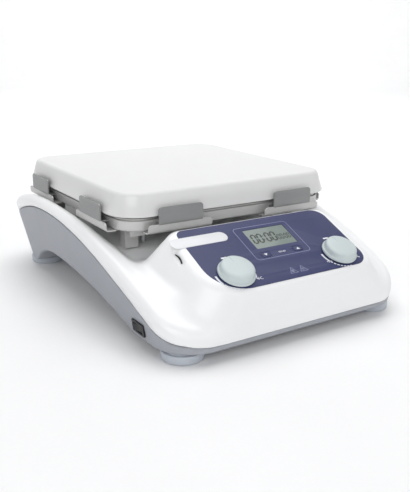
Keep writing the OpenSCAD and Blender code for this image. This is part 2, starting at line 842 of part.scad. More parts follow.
module rear_plate() {
    color(dark) difference() {
        translate([bay_x[0] + GAP, bay_y - 5, bay_z[0] + GAP])
            cube([bay_x[1] - bay_x[0] - 2 * GAP, 2, bay_z[1] - bay_z[0] - 2 * GAP]);
        translate([inlet_x, bay_y, bay_mid_z]) cube([27.6, 20, 20.4], center = true);
        translate([drawer_x, bay_y, bay_mid_z]) cube([20.4, 20, 18.4], center = true);
        translate([probe_x, bay_y, bay_mid_z]) cube([8.2, 30, 8.2], center = true);
    }
}

module power_inlet() {
    color(dark) difference() {
        union() {
            translate([inlet_x, bay_y - 14, bay_mid_z]) cube([27, 26, 19.8], center = true);
            translate([inlet_x, bay_y - 2.1, bay_mid_z]) cube([31, 1.6, 22.4], center = true);
            translate([drawer_x, bay_y - 14.5, bay_mid_z]) cube([20, 26, 18], center = true);
            translate([drawer_x - 0.5, bay_y - 2.1, bay_mid_z]) cube([28, 1.6, 22.4], center = true);
        }
        translate([inlet_x, bay_y + 8, bay_mid_z]) cube([24.6, 58, 16.6], center = true);
        translate([drawer_x, bay_y + 8, bay_mid_z]) cube([16, 58, 14], center = true);
    }
}

module inlet_pins() {
    color(steel) for (p = [[-7, -2], [0, 2], [7, -2]])
        translate([inlet_x + p[0], bay_y - 20.9, bay_mid_z + p[1]]) translate([-1, 0, -2]) cube([2, 13, 4]);
}

module fuse_drawer() {
    color(dark) translate([drawer_x, bay_y, bay_mid_z]) difference() {
        union() {
            translate([-7.6, -20.5, -6.6]) cube([15.2, 20, 13.2]);
            translate([-8.6, -1.2, -8]) cube([17.2, 2.2, 16]);
            translate([-3, 0.9, -8]) cube([6, 1.6, 3]);
        }
        for (x = [-3.7, 3.7]) translate([x - 3, -19, -4]) cube([6, 16, 20]);
    }
}

module fuses() {
    color(cream) for (x = [-3.7, 3.7]) translate([drawer_x + x, bay_y - 18.6, bay_mid_z - 1.4])
        rotate([-90, 0, 0]) cylinder(r = 2.5, h = 15);
}

module probe_socket() {
    color(steel) translate([probe_x, bay_y, bay_mid_z]) rotate([90, 0, 0]) difference() {
        union() {
            translate([0, 0, 1.4]) cylinder(r = 6, h = 1.5);
            translate([0, 0, 2.8]) cylinder(r = 4, h = 14);
            translate([0, 0, 7.2]) cylinder(r = 6, h = 2, $fn = 6);
        }
        cylinder(r = probe_r, h = 14);
    }
}

module rod_socket() {
    color(steel) translate([rod_at[0], rod_at[1], rod_boss_top - rod_len]) difference() {
        cylinder(r = 8, h = rod_len);
        translate([0, 0, -1]) cylinder(r = rod_hole_r, h = rod_len + 2);
    }
}

module motor_mount() {
    color(steel) at_plate(mount_z) difference() {
        linear_extrude(3) rounded_square(40, 6);
        translate([0, 0, -1]) cylinder(r = 8.1, h = 10);
        four(motor_screw_at, motor_screw_at) translate([0, 0, -1]) cylinder(r = 2.03, h = 10);
    }
}

module motor_dampers() {
    color(dark) at_plate(0) four(motor_screw_at, motor_screw_at) difference() {
        translate([0, 0, mount_z + 3]) cylinder(r = 5, h = deck_z - wall - mount_z - 3);
        cylinder(r = 2.2, h = 90);
    }
}

module motor_screws() {
    color(steel) at_plate(0) four(motor_screw_at, motor_screw_at) {
        translate([0, 0, deck_z]) cylinder(r = 4, h = 2.4);
        translate([0, 0, mount_z]) cylinder(r = 2, h = deck_z - mount_z + 0.4);
    }
}

module motor_stator() {
    color(copper) at_plate(0) difference() {
        translate([0, 0, motor_z]) cylinder(r = 30, h = mount_z - motor_z);
        translate([0, 0, motor_z + bearing_h + 0.3])
            cylinder(r = 15, h = mount_z - motor_z - 2 * bearing_h - 0.6);
        translate([0, 0, motor_z - 1]) cylinder(r = 8, h = 40);
    }
}

module motor_bearings() {
    color(steel) at_plate(0) for (z = [motor_z, mount_z - bearing_h]) translate([0, 0, z]) difference() {
        cylinder(r = 8, h = bearing_h);
        translate([0, 0, -1]) cylinder(r = shaft_r + 0.05, h = 10);
    }
}

module motor_rotor() {
    color(steel) at_plate(0) {
        translate([0, 0, motor_z]) cylinder(r = shaft_r, h = carrier_z + 4 - motor_z);
        translate([0, 0, motor_z + bearing_h + 0.8])
            cylinder(r = 14.4, h = mount_z - motor_z - 2 * bearing_h - 1.6);
    }
}

module magnet_carrier() {
    color(steel) at_plate(carrier_z) difference() {
        union() {
            cylinder(r = carrier_r, h = 2);
            cylinder(r = 7, h = 5.5);
        }
        translate([0, 0, -1]) cylinder(r = shaft_r + 0.02, h = 5);
    }
}

module magnets() {
    color(dark) at_plate(carrier_z + 2) for (s = [-1, 1]) translate([s * 24 - 8, -10, 0]) cube([16, 20, 6]);
}

lower_housing();
upper_housing();
foot_front_left();
foot_front_right();
foot_rear_left();
foot_rear_right();
foot_screws();
housing_screws();
top_plate();
plate_tray();
tray_legs();
heat_shield();
heating_element();
element_clamp();
insulation_pad();
plate_standoffs();
plate_screws();
plate_sensor();
thermal_cutout();
panel_overlay();
badge_plate();
lcd_window();
lcd_module();
key_timer_down();
key_timer_up();
key_switches();
indicator_lamps();
temp_knob();
speed_knob();
temp_pot_shaft();
speed_pot_shaft();
pot_bodies();
pot_nuts();
control_board();
control_board_screws();
buzzer();
ribbon_cable();
main_board();
main_board_screws();
filter_capacitor();
heater_relay();
triac_heatsink();
transformer();
rocker_frame();
power_rocker();
rear_plate();
power_inlet();
inlet_pins();
fuse_drawer();
fuses();
probe_socket();
rod_socket();
motor_mount();
motor_dampers();
motor_screws();
motor_stator();
motor_bearings();
motor_rotor();
magnet_carrier();
magnets();
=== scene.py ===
"""Looks of a heating magnetic stirrer: moulded housings, plate, tray and console, built round the CAD frame.

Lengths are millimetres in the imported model's frame, and put() turns them into metres. A spot on the panel is
(x, s): x to the right of its middle and s down the slope from its upper edge."""

import json
import math

import bmesh
import bpy
import numpy as np
from mathutils import Matrix, Vector


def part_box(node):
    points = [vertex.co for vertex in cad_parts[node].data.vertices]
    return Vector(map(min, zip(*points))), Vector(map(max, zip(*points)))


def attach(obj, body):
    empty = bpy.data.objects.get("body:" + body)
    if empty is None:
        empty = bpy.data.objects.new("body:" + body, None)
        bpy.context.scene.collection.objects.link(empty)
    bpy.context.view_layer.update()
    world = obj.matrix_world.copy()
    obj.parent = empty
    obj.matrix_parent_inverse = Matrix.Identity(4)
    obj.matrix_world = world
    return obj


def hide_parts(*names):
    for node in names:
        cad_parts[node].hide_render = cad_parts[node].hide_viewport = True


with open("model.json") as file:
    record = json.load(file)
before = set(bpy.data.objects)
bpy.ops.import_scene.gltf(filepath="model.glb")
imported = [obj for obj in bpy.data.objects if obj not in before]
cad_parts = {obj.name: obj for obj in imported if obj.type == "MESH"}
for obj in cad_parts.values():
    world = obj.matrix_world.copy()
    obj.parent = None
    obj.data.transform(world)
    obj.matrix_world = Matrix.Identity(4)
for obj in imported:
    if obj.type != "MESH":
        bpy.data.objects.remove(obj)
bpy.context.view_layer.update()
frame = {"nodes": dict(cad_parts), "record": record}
MM = 0.001
ROOT = "stirrer"


def box_mm(node):
    """Lowest and highest corner of a CAD node, in millimetres."""
    return [np.array(corner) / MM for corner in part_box(node)]


# ---------------------------------------------------------------- driving dimensions
WALL = 2.5
PLATE_LO, PLATE_HI = box_mm("top_plate")
PLATE_Y = (PLATE_LO[1] + PLATE_HI[1]) / 2
PLATE_TOP = PLATE_HI[2]
SKIRT_Z = PLATE_LO[2]
SKIRT_FLARE, SKIRT_TAPER = 1.6, 2.2
PLATE_HALF = (PLATE_HI[0] - PLATE_LO[0]) / 2 - SKIRT_FLARE
PLATE_R = 21.0
TRAY_LO, TRAY_HI = box_mm("plate_tray")
TRAY_Z = TRAY_LO[2]
RIM_INSET, RIM_Z = 2.5, TRAY_Z + 7.5
CHANNEL_OUT, CHANNEL_Z = 3.0, TRAY_Z + 5.5
SHEET = 1.0
TAB_W, TAB_AT = 35.0, 49.0

BASE_Z = box_mm("lower_housing")[0][2]
BASE_HALF, CREST_HALF = 97.7, 108.3
BASE_FRONT, BASE_REAR = -142.4, 131.6
FRONT_DRAFT, REAR_DRAFT = 0.136, 0.2956
FRONT_R, REAR_R = 28.0, 38.0
# Humps: y and z of the apex, radius in front of it, radius behind it
CREST = (50.0, 69.5, 400.0, 230.0)
SEAM = (40.0, 62.3, 275.0, 190.0)
ARCH = (40.0, 26.5, 420.0, 75.0)
SIDE_DRAFT = (CREST_HALF - BASE_HALF) / (CREST[1] - BASE_Z)
SHOULDER_R = 8.0
# Beyond its ends the seam leaves the hump in straight lines. Under the console it is level, then after
# a soft knee it climbs a slope that stands SEAM_FRONT_RISE higher at SEAM_FRONT_Y
SEAM_ENDS = (-60, 110)
SEAM_FRONT_Z, SEAM_FRONT_RISE, SEAM_FRONT_Y = 13.2, 16.4, -95
SEAM_FRONT_SLOPE, SEAM_KNEE = 0.43, 1.2
SEAM_GAP = 0.2

DECK_Z = 50.0
TROUGH_HALF = 97.0
TROUGH_FLOOR_IN, TROUGH_SLOPE = 9, 0.5
TROUGH_Y, TROUGH_CORNERS, TROUGH_FILLET = (-128, 128), (26, 26, 30, 30), 6.0
RAIL_EDGE_R = 5.0
# How the deck falls at its ends: drop per knee length, where the fall starts, length of its soft knee
FRONT_FALL, REAR_FALL = (2.1, -46, 8), (1.3, 114, 6)
HOLLOW_Y, HOLLOW_CORNERS, HOLLOW_Z = (-128.6, 130.6), (28, 28, 30, 30), 32

TILT = math.radians(24.1)
PANEL_TOP = (-82.0, 68.3)
PANEL_LEN = 62.4
PANEL_HALF = 63.0
PANEL_CORNERS = (6.0, 10.0, 12.0, 24.0)
LIP = 5.0
# How much the console grows per millimetre below the panel: at its sides, in front and behind
CONSOLE_SPREAD = (0.77, 0.523, 0.05)
CONSOLE_CORNERS, CONSOLE_EDGE_R = (10, 12, 16, 27), 3.0
# The spreading sides make their field too steep, and their wall is moved in a little more to make up for it
CONSOLE_STEEPNESS, CONSOLE_INSET = 1.15, 1.12
KNOB_X, KNOB_S = 43.9, 48.9
LCD, LCD_SIZE = (3.5, 20.2), (35.0, 20.0)
KEYS = ((-11.5, 36.8), (16.0, 36.8))
KEY_SIZE = (7.0, 4.6)
LAMPS = ((-2.5, 56.0), (6.0, 56.0))
SLIT = (-70.0, 22.0)
SLIT_HALF, SLIT_R = 4.5, 2.6
ROD, ROD_BOSS_R, ROD_HOLE_R = (-60.0, 131.0, 57.0), 12, 8.1
SHAFT_HOLE_R = 12
ROCKER_LO, ROCKER_HI = box_mm("rocker_frame")
ROCKER_Y, ROCKER_Z = (ROCKER_LO[1] + ROCKER_HI[1]) / 2, 15.2
VENT_PITCH, VENT_HALF, VENT_FIELD, VENT_BEHIND = 12, 2, (40, 15), 40
ON_PANEL = Matrix.Translation((0, PANEL_TOP[0], PANEL_TOP[1])) @ Matrix.Rotation(TILT, 4, "X")


# ---------------------------------------------------------------- materials
CLOUD_SHARE = 0.65


def material(name, color, rough, metal=0.0, coat=0.0, grain=900.0, tint=0.05, bump=0.05, stretch=(1, 1, 1)):
    """A surface whose colour, gloss and relief vary with two scales of procedural noise."""
    mat = bpy.data.materials.new(name)
    mat.use_nodes = True
    tree = mat.node_tree
    shader = tree.nodes["Principled BSDF"]
    shader.inputs["Metallic"].default_value = metal
    shader.inputs["Coat Weight"].default_value = coat
    shader.inputs["Coat Roughness"].default_value = 0.12

    def node(kind, **values):
        made = tree.nodes.new(kind)
        for key, value in values.items():
            made.inputs[key.replace("_", " ")].default_value = value
        return made

    place = node("ShaderNodeMapping", Scale=stretch)
    tree.links.new(tree.nodes.new("ShaderNodeTexCoord").outputs["Object"], place.inputs["Vector"])
    cloud = node("ShaderNodeTexNoise", Scale=grain / 40, Detail=4.0, Roughness=0.6)
    speck = node("ShaderNodeTexNoise", Scale=grain, Detail=3.0, Roughness=0.55)
    for noise in (cloud, speck):
        tree.links.new(place.outputs["Vector"], noise.inputs["Vector"])
    ramp = tree.nodes.new("ShaderNodeValToRGB")
    low, high = ramp.color_ramp.elements
    low.position, high.position = 0.3, 0.7
    low.color = [c * (1 - tint) for c in color] + [1]
    high.color = [min(1, c * (1 + tint * 0.4)) for c in color] + [1]
    small = tree.nodes.new("ShaderNodeMath")
    small.operation = "MULTIPLY"
    small.inputs[1].default_value = 1 - CLOUD_SHARE
    tree.links.new(speck.outputs["Fac"], small.inputs[0])
    both = tree.nodes.new("ShaderNodeMath")
    both.operation = "MULTIPLY_ADD"
    both.inputs[1].default_value = CLOUD_SHARE
    tree.links.new(cloud.outputs["Fac"], both.inputs[0])
    tree.links.new(small.outputs[0], both.inputs[2])
    tree.links.new(both.outputs[0], ramp.inputs["Fac"])
    tree.links.new(ramp.outputs["Color"], shader.inputs["Base Color"])
    gloss = node("ShaderNodeMapRange")
    gloss.inputs["To Min"].default_value = max(0.02, rough * 0.85)
    gloss.inputs["To Max"].default_value = min(1.0, rough * 1.2)
    tree.links.new(speck.outputs["Fac"], gloss.inputs["Value"])
    tree.links.new(gloss.outputs["Result"], shader.inputs["Roughness"])
    relief = node("ShaderNodeBump", Strength=bump, Distance=0.0004)
    tree.links.new(speck.outputs["Fac"], relief.inputs["Height"])
    tree.links.new(relief.outputs["Normal"], shader.inputs["Normal"])
    return mat


MATERIALS = {
    "housing_white": material("housing_white", (0.895, 0.90, 0.905), 0.34, coat=0.15, tint=0.02, bump=0.03),
    "housing_grey": material("housing_grey", (0.36, 0.375, 0.41), 0.5, grain=1600, tint=0.05, bump=0.12),
    "foot_rubber": material("foot_rubber", (0.50, 0.535, 0.59), 0.55, tint=0.08, bump=0.1),
    "screw_steel": material("screw_steel", (0.6, 0.61, 0.63), 0.3, metal=1.0, tint=0.1, bump=0.05),
    "plate_white": material(
        "plate_white", (0.74, 0.74, 0.735), 0.3, coat=0.2, grain=700, tint=0.02, bump=0.03),
    "sheet_steel": material(
        "sheet_steel", (0.60, 0.60, 0.59), 0.38, metal=0.35, tint=0.08, bump=0.06, stretch=(1, 1, 5)),
    "element": material("element", (0.5, 0.34, 0.2), 0.5, metal=0.8, tint=0.3, bump=0.3),
    "fibre": material("fibre", (0.82, 0.79, 0.7), 0.9, tint=0.15, bump=0.6, stretch=(1, 4, 1)),
    "spacer_ceramic": material("spacer_ceramic", (0.85, 0.83, 0.77), 0.6, tint=0.05, bump=0.1),
    "panel_blue": material("panel_blue", (0.034, 0.041, 0.125), 0.5, tint=0.07, bump=0.04),
    "badge_white": material("badge_white", (0.76, 0.77, 0.79), 0.35, coat=0.2, tint=0.02, bump=0.01),
    "lcd_glass": material("lcd_glass", (0.20, 0.245, 0.225), 0.3, coat=0.1, grain=300, tint=0.12, bump=0.01),
    "black_plastic": material("black_plastic", (0.018, 0.018, 0.02), 0.4, tint=0.3, bump=0.08),
    "knob_pale": material("knob_pale", (0.57, 0.64, 0.645), 0.42, coat=0.1, tint=0.03, bump=0.04),
    "lamp_lens": material("lamp_lens", (0.13, 0.15, 0.26), 0.2, coat=0.5, tint=0.05, bump=0.01),
    "circuit_board": material(
        "circuit_board", (0.02, 0.13, 0.05), 0.35, coat=0.3, grain=500, tint=0.5, bump=0.15),
    "ribbon": material("ribbon", (0.5, 0.51, 0.53), 0.5, tint=0.2, bump=0.3, stretch=(3, 0.2, 0.2)),
    "transformer_core": material(
        "transformer_core", (0.1, 0.09, 0.085), 0.6, metal=0.3, tint=0.4, bump=0.3, stretch=(4, 0.2, 0.2)),
    "copper_winding": material(
        "copper_winding", (0.6, 0.3, 0.15), 0.35, metal=0.9, tint=0.3, bump=0.4, stretch=(1, 1, 8)),
    "aluminium_fins": material(
        "aluminium_fins", (0.6, 0.61, 0.62), 0.35, metal=1.0, tint=0.1, bump=0.1, stretch=(1, 0.2, 6)),
    "magnet_black": material("magnet_black", (0.04, 0.04, 0.045), 0.6, tint=0.4, bump=0.3),
    "damper_rubber": material("damper_rubber", (0.025, 0.025, 0.025), 0.7, tint=0.3, bump=0.2),
}
# The tabs are bent from the tray's own sheet; this darker copy of its steel is painted shade on their outward
# faces.
TAB_SHADED_STEEL = material("tab_shaded_steel", (0.31, 0.315, 0.315), 0.42, metal=0.6, tint=0.1, bump=0.08, stretch=(1, 1, 6))
INK_WHITE = material("ink_white", (0.80, 0.81, 0.86), 0.5, tint=0.05, bump=0.05)
INK_FAINT = material("ink_faint", (0.22, 0.24, 0.40), 0.5, tint=0.05, bump=0.05)
INK_DARK = material("ink_dark", (0.035, 0.045, 0.035), 0.4, tint=0.2, bump=0.02)
SLOT_OF = {part["node"]: part["material_slot"] for part in frame["record"]["subparts"]}
for node_name, cad in frame["nodes"].items():
    cad.data.materials.clear()
    cad.data.materials.append(MATERIALS[SLOT_OF[node_name]])


# ---------------------------------------------------------------- placing pieces
SHARP = math.radians(40)
REPLACED = set()


def put(name, mesh, slot, body=ROOT, stands_for=(), place=None, finish=None):
    """Makes a piece from a mesh in millimetres, on its body; finish is a look other than its slot's."""
    mesh.transform(Matrix.Scale(MM, 4) @ (place or Matrix()))
    mesh.name = name
    mesh.materials.clear()
    mesh.materials.append(finish or MATERIALS[slot])
    mesh.shade_smooth()
    mesh.set_sharp_from_angle(angle=SHARP)
    piece = bpy.data.objects.new(name, mesh)
    bpy.context.scene.collection.objects.link(piece)
    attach(piece, body)
    if stands_for:
        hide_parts(*stands_for)
        REPLACED.update(stands_for)


def joined(meshes):
    """One mesh out of several."""
    work = bmesh.new()
    for mesh in meshes:
        work.from_mesh(mesh)
        bpy.data.meshes.remove(mesh)
    out = bpy.data.meshes.new("joined")
    work.to_mesh(out)
    work.free()
    return out


def faces_mesh(verts, faces):
    """A mesh from points and the faces between them."""
    mesh = bpy.data.meshes.new("faces")
    mesh.from_pydata([tuple(map(float, v)) for v in verts], [], [tuple(map(int, f)) for f in faces])
    mesh.validate()
    return mesh


# ---------------------------------------------------------------- smooth solids from distance fields
def rmax(a, b, r):
    """The solid inside both fields, its edge rounded with radius r."""
    a, b = a + r, b + r
    return np.minimum(np.maximum(a, b), 0) + np.hypot(np.maximum(a, 0), np.maximum(b, 0)) - r


def rmin(a, b, r):
    """The solid inside either field, with a fillet of radius r between them."""
    return -rmax(-a, -b, r)


def plan(x, y, half, y0, y1, radii):
    """Distance from a rounded rectangle; radii are rear left, rear right, front right and front left."""
    mid = (y0 + y1) / 2
    rear = np.where(x < 0, radii[0], radii[1])
    front = np.where(x < 0, radii[3], radii[2])
    r = np.where(y < mid, front, rear)
    qx, qy = np.abs(x) - half + r, np.abs(y - mid) - (y1 - y0) / 2 + r
    return np.hypot(np.maximum(qx, 0), np.maximum(qy, 0)) + np.minimum(np.maximum(qx, qy), 0) - r


def block(x, y, z, lo, hi):
    """Distance from a box."""
    parts = [np.maximum(a - p, p - b) for p, a, b in zip((x, y, z), lo, hi)]
    return np.maximum(np.maximum(parts[0], parts[1]), parts[2])


def disc(y, z, hump):
    """Distance from a lying cylinder under a hump's apex, with one radius in front of it and one behind."""
    r = np.where(y < hump[0], hump[2], hump[3])
    return np.hypot(y - hump[0], z - hump[1] + r) - r


def body_plan(x, y, z):
    """Distance from the body's drafted walls."""
    up = z - BASE_Z
    return plan(
        x, y, BASE_HALF + SIDE_DRAFT * up, BASE_FRONT - FRONT_DRAFT * up, BASE_REAR + REAR_DRAFT * up,
        (REAR_R, REAR_R, FRONT_R, FRONT_R),
    )


def seam(y):
    """Height of the line where the housings meet."""
    at = np.clip(y, *SEAM_ENDS)
    r = np.where(at < SEAM[0], SEAM[2], SEAM[3])
    root = np.sqrt(r * r - (at - SEAM[0]) ** 2)
    arch = SEAM[1] - r + root - (y - at) * (at - SEAM[0]) / root
    rise = SEAM_FRONT_RISE + SEAM_FRONT_SLOPE * (y - SEAM_FRONT_Y)
    front = SEAM_FRONT_Z + SEAM_KNEE * np.logaddexp(0, rise / SEAM_KNEE)
    return np.minimum(arch, front)


def on_panel(y, z):
    """Up the slope and out of the panel."""
    dy, dz = y - PANEL_TOP[0], z - PANEL_TOP[1]
    return dy * math.cos(TILT) + dz * math.sin(TILT), dz * math.cos(TILT) - dy * math.sin(TILT)


def console(x, y, z, inset):
    """Distance from the sloping console, its faces moved in by inset."""
    up, out = on_panel(y, z)
    deep = np.clip(-out, -3, 30)
    sides, front, rear = CONSOLE_SPREAD
    half = PANEL_HALF + LIP + sides * deep
    side = plan(x, up, half, -64 - front * deep, 2.5 - rear * deep, CONSOLE_CORNERS)
    return rmax(side / CONSOLE_STEEPNESS + CONSOLE_INSET * inset, out + inset, CONSOLE_EDGE_R - inset)


def panel_holes(x, y, z):
    """Distance from the holes for display, keys, indicators and knob shafts, as deep as the console's top."""
    up, out = on_panel(y, z)

    def square(at, size, room):
        return np.maximum(abs(x - at[0]) - size[0] / 2 - room, abs(up + at[1]) - size[1] / 2 - room)

    holes = [square(LCD, LCD_SIZE, 0.4)] + [square(key, KEY_SIZE, 0.5) for key in KEYS]
    holes += [np.hypot(x - hx, up + hs) - 1.9 for hx, hs in LAMPS]
    holes += [np.hypot(x - hx, up + KNOB_S) - 4.9 for hx in (-KNOB_X, KNOB_X)]
    return np.maximum(np.minimum.reduce(holes), np.maximum(-out - 8, out - 4))


def upper_solid(x, y, z, inset):
    """The upper housing without its hollow, every face moved in by inset."""
    rails = rmax(body_plan(x, y, z) + inset, disc(y, z, CREST) + inset, SHOULDER_R - inset)
    drop, start, knee = FRONT_FALL
    floor = DECK_Z - drop * np.logaddexp(0, (start - y) / knee)
    drop, start, knee = REAR_FALL
    floor = floor - drop * np.logaddexp(0, (y - start) / knee)
    half = TROUGH_HALF - TROUGH_FLOOR_IN + TROUGH_SLOPE * (z - DECK_Z)
    trough = rmax(plan(x, y, half, *TROUGH_Y, TROUGH_CORNERS), floor - z, TROUGH_FILLET)
    rails = rmax(rails, inset - trough, RAIL_EDGE_R - inset)
    soft = 3 + 7 * np.clip((y + 140) / 25, 0, 1)
    skin = rmin(rails, console(x, y, z, inset), soft)
    up, out = on_panel(y, z)
    past_end = np.maximum(abs(up + SLIT[1]) - SLIT_HALF, 0)
    dish = np.hypot(np.hypot(x - SLIT[0] + 1.6, out + 2.0), past_end) - SLIT_R
    return rmax(skin, inset - dish, 0.8)


def upper_field(x, y, z):
    """Distance from the upper housing: a shell above the seam with the rod's boss and every hole."""
    inner = np.maximum(plan(x, y, TROUGH_HALF - WALL, *HOLLOW_Y, HOLLOW_CORNERS), HOLLOW_Z - z)
    under = np.minimum(seam(y) + SEAM_GAP - z, inner)
    shell = np.maximum(rmax(upper_solid(x, y, z, 0), under, 1.3), -upper_solid(x, y, z, WALL))
    from_rod = np.hypot(x - ROD[0], y - ROD[1])
    boss = np.maximum(rmax(from_rod - ROD_BOSS_R, z - ROD[2], 2.0), 40 - z)
    shell = rmin(shell, boss, 3.0)
    holes = np.minimum(np.hypot(x, y - PLATE_Y) - SHAFT_HOLE_R, from_rod - ROD_HOLE_R)
    return np.maximum(shell, -np.minimum(holes, panel_holes(x, y, z)))


def on_side(x, z, at):
    """Out of the left wall and up it, from a point on it."""
    lean = math.atan(SIDE_DRAFT)
    dx, dz = x - at[0], z - at[2]
    return dx * math.cos(lean) + dz * math.sin(lean), dz * math.cos(lean) - dx * math.sin(lean)


BAY_LO, BAY_HI = box_mm("rear_plate")
SIDE_AT = (-(BASE_HALF + SIDE_DRAFT * (ROCKER_Z - BASE_Z)), ROCKER_Y, ROCKER_Z)


def lower_field(x, y, z):
    """Distance from the lower housing: a shell below the seam with rear bay, rocker opening and vents."""
    out = rmax(body_plan(x, y, z), BASE_Z - z, 1.2)
    under = -disc(y, z, ARCH)
    out = rmax(out, under, 2.0)
    inner = np.maximum(np.maximum(body_plan(x, y, z) + WALL, BASE_Z + WALL - z), under + WALL)
    shell = np.maximum(out, -inner)
    bay = block(x, y, z, (BAY_LO[0] - WALL, 125, BASE_Z), (BAY_HI[0] + WALL, 133, BAY_HI[2] + WALL))
    shell = np.minimum(shell, np.maximum(bay, out))
    shell = rmax(shell, -block(x, y, z, (BAY_LO[0], 122, BAY_LO[2]), (BAY_HI[0], 160, BAY_HI[2])), 0.8)
    away, along = on_side(x, z, SIDE_AT)
    shell = rmax(shell, -block(away, y - SIDE_AT[1], along, (-9, -6.6, -3.6), (9, 6.6, 3.6)), 0.6)
    vents = np.abs((x + VENT_PITCH / 2) % VENT_PITCH - VENT_PITCH / 2) - VENT_HALF
    field = np.maximum(abs(x) - VENT_FIELD[0], abs(y - PLATE_Y - VENT_BEHIND) - VENT_FIELD[1])
    vents = np.maximum(np.maximum(vents, field), z - 40)
    shell = rmax(shell, -vents, 0.4)
    return rmax(shell, z - seam(y) + SEAM_GAP, 1.0)


EDGES = [(a, b) for a in range(8) for b in range(8) if a < b and bin(a ^ b).count("1") == 1]
CORNERS = np.array([[(c >> 2) & 1, (c >> 1) & 1, c & 1] for c in range(8)])


def net(field, lo, hi, step):
    """Surface mesh of a distance field: one point in each cell that the surface crosses, moved onto it."""
    lo = np.array(lo, float)
    size = [int((b - a) / step) + 2 for a, b in zip(lo, hi)]
    axes = [a + step * np.arange(n) for a, n in zip(lo, size)]
    value = field(*np.meshgrid(*axes, indexing="ij"))
    inside = value < 0
    count = sum(
        inside[tuple(slice(k, n - 1 + k) for k, n in zip(corner, size))].astype(int) for corner in CORNERS
    )
    crossed = (count > 0) & (count < 8)
    cells = np.argwhere(crossed)
    number = np.full(crossed.shape, -1)
    number[crossed] = np.arange(len(cells))
    total, hits = np.zeros((len(cells), 3)), np.zeros(len(cells))
    for a, b in EDGES:
        va, vb = (value[tuple((cells + CORNERS[c]).T)] for c in (a, b))
        cut = (va < 0) != (vb < 0)
        share = np.where(cut, va / np.where(cut, va - vb, 1), 0)[:, None]
        total += cut[:, None] * (CORNERS[a] + share * (CORNERS[b] - CORNERS[a]))
        hits += cut
    points = lo + step * (cells + total / hits[:, None])
    probe, rounds = 0.05, 3
    for _ in range(rounds):
        now = field(*points.T)
        ahead = [field(*(points + probe * d).T) for d in np.eye(3)]
        behind = [field(*(points - probe * d).T) for d in np.eye(3)]
        slope = np.stack([(a - b) / (2 * probe) for a, b in zip(ahead, behind)], 1)
        pull = slope * (now / np.maximum((slope ** 2).sum(1), 0.05))[:, None]
        points -= np.clip(pull, -0.4 * step, 0.4 * step)
    quads = []
    for axis in range(3):
        u, v = (axis + 1) % 3, (axis + 2) % 3
        first = np.take(inside, range(size[axis] - 1), axis)
        after = np.take(inside, range(1, size[axis]), axis)
        edge = np.argwhere(first != after)
        in_u = (edge[:, u] > 0) & (edge[:, u] < size[u] - 1)
        in_v = (edge[:, v] > 0) & (edge[:, v] < size[v] - 1)
        edge = edge[in_u & in_v]
        ring = []
        for du, dv in ((1, 1), (0, 1), (0, 0), (1, 0)):
            cell = edge.copy()
            cell[:, u] -= du
            cell[:, v] -= dv
            ring.append(number[tuple(cell.T)])
        ring = np.stack(ring, 1)
        outward = inside[tuple(edge.T)]
        quads.append(np.where(outward[:, None], ring, ring[:, ::-1]))
    return faces_mesh(points, np.concatenate(quads))


NET_STEP = 1.0
MARGIN = 2.0 * NET_STEP
for half, field, slot in (("upper", upper_field, "housing_white"), ("lower", lower_field, "housing_grey")):
    lo, hi = box_mm(half + "_housing")
    put(half + "_shell", net(field, lo - MARGIN, hi + MARGIN, NET_STEP), slot, stands_for=[half + "_housing"])


# ---------------------------------------------------------------- swept, turned and cut shapes
def arc(cx, cy, r, a0, a1, n):
    """Points along a circle's arc, angles in degrees."""
    turns = [math.radians(a) for a in np.linspace(a0, a1, n)]
    return [(cx + r * math.cos(a), cy + r * math.sin(a)) for a in turns]


def rounded(x0, x1, y0, y1, radii, n=8):
    """Outline of a rectangle, radii at the rear left, rear right, front right and front left."""
    rl, rr, fr, fl = radii
    return (
        arc(x1 - rr, y1 - rr, rr, 0, 90, n) + arc(x0 + rl, y1 - rl, rl, 90, 180, n)
        + arc(x0 + fl, y0 + fl, fl, 180, 270, n) + arc(x1 - fr, y0 + fr, fr, 270, 360, n)
    )


def sweep(profile, closed=False):
    """A profile of (offset from the plate's rim, height) carried round it, closed on itself or capped."""
    n = 12
    verts, faces = [], []
    for offset, z in profile:
        h, r = PLATE_HALF + offset, max(0.4, PLATE_R + offset)
        verts += [(px, py + PLATE_Y, z) for px, py in rounded(-h, h, -h, h, (r,) * 4, n)]
    count = 4 * n
    rings = len(profile)
    for i in range(rings if closed else rings - 1):
        a, b = i * count, ((i + 1) % rings) * count
        faces += [(a + j, b + j, b + (j + 1) % count, a + (j + 1) % count) for j in range(count)]
    if not closed:
        faces.append(tuple(range(count)))
        faces.append(tuple(range((rings - 1) * count, rings * count))[::-1])
    return faces_mesh(verts, faces)


def lathe(profile):
    """A profile of (radius, height) turned round the Z axis; an end at radius 0 is one point."""
    n = 96
    turns = [2 * math.pi * k / n for k in range(n)]
    verts, faces, rings = [], [], []
    for r, z in profile:
        if r < 1e-6:
            rings.append([len(verts)])
            verts.append((0, 0, z))
        else:
            rings.append(list(range(len(verts), len(verts) + n)))
            verts += [(r * math.cos(a), r * math.sin(a), z) for a in turns]
    for a, b in zip(rings, rings[1:]):
        for k in range(n):
            quad = [a[k % len(a)], b[k % len(b)], b[(k + 1) % len(b)], a[(k + 1) % len(a)]]
            faces.append(tuple(dict.fromkeys(quad)))
    return faces_mesh(verts, faces)


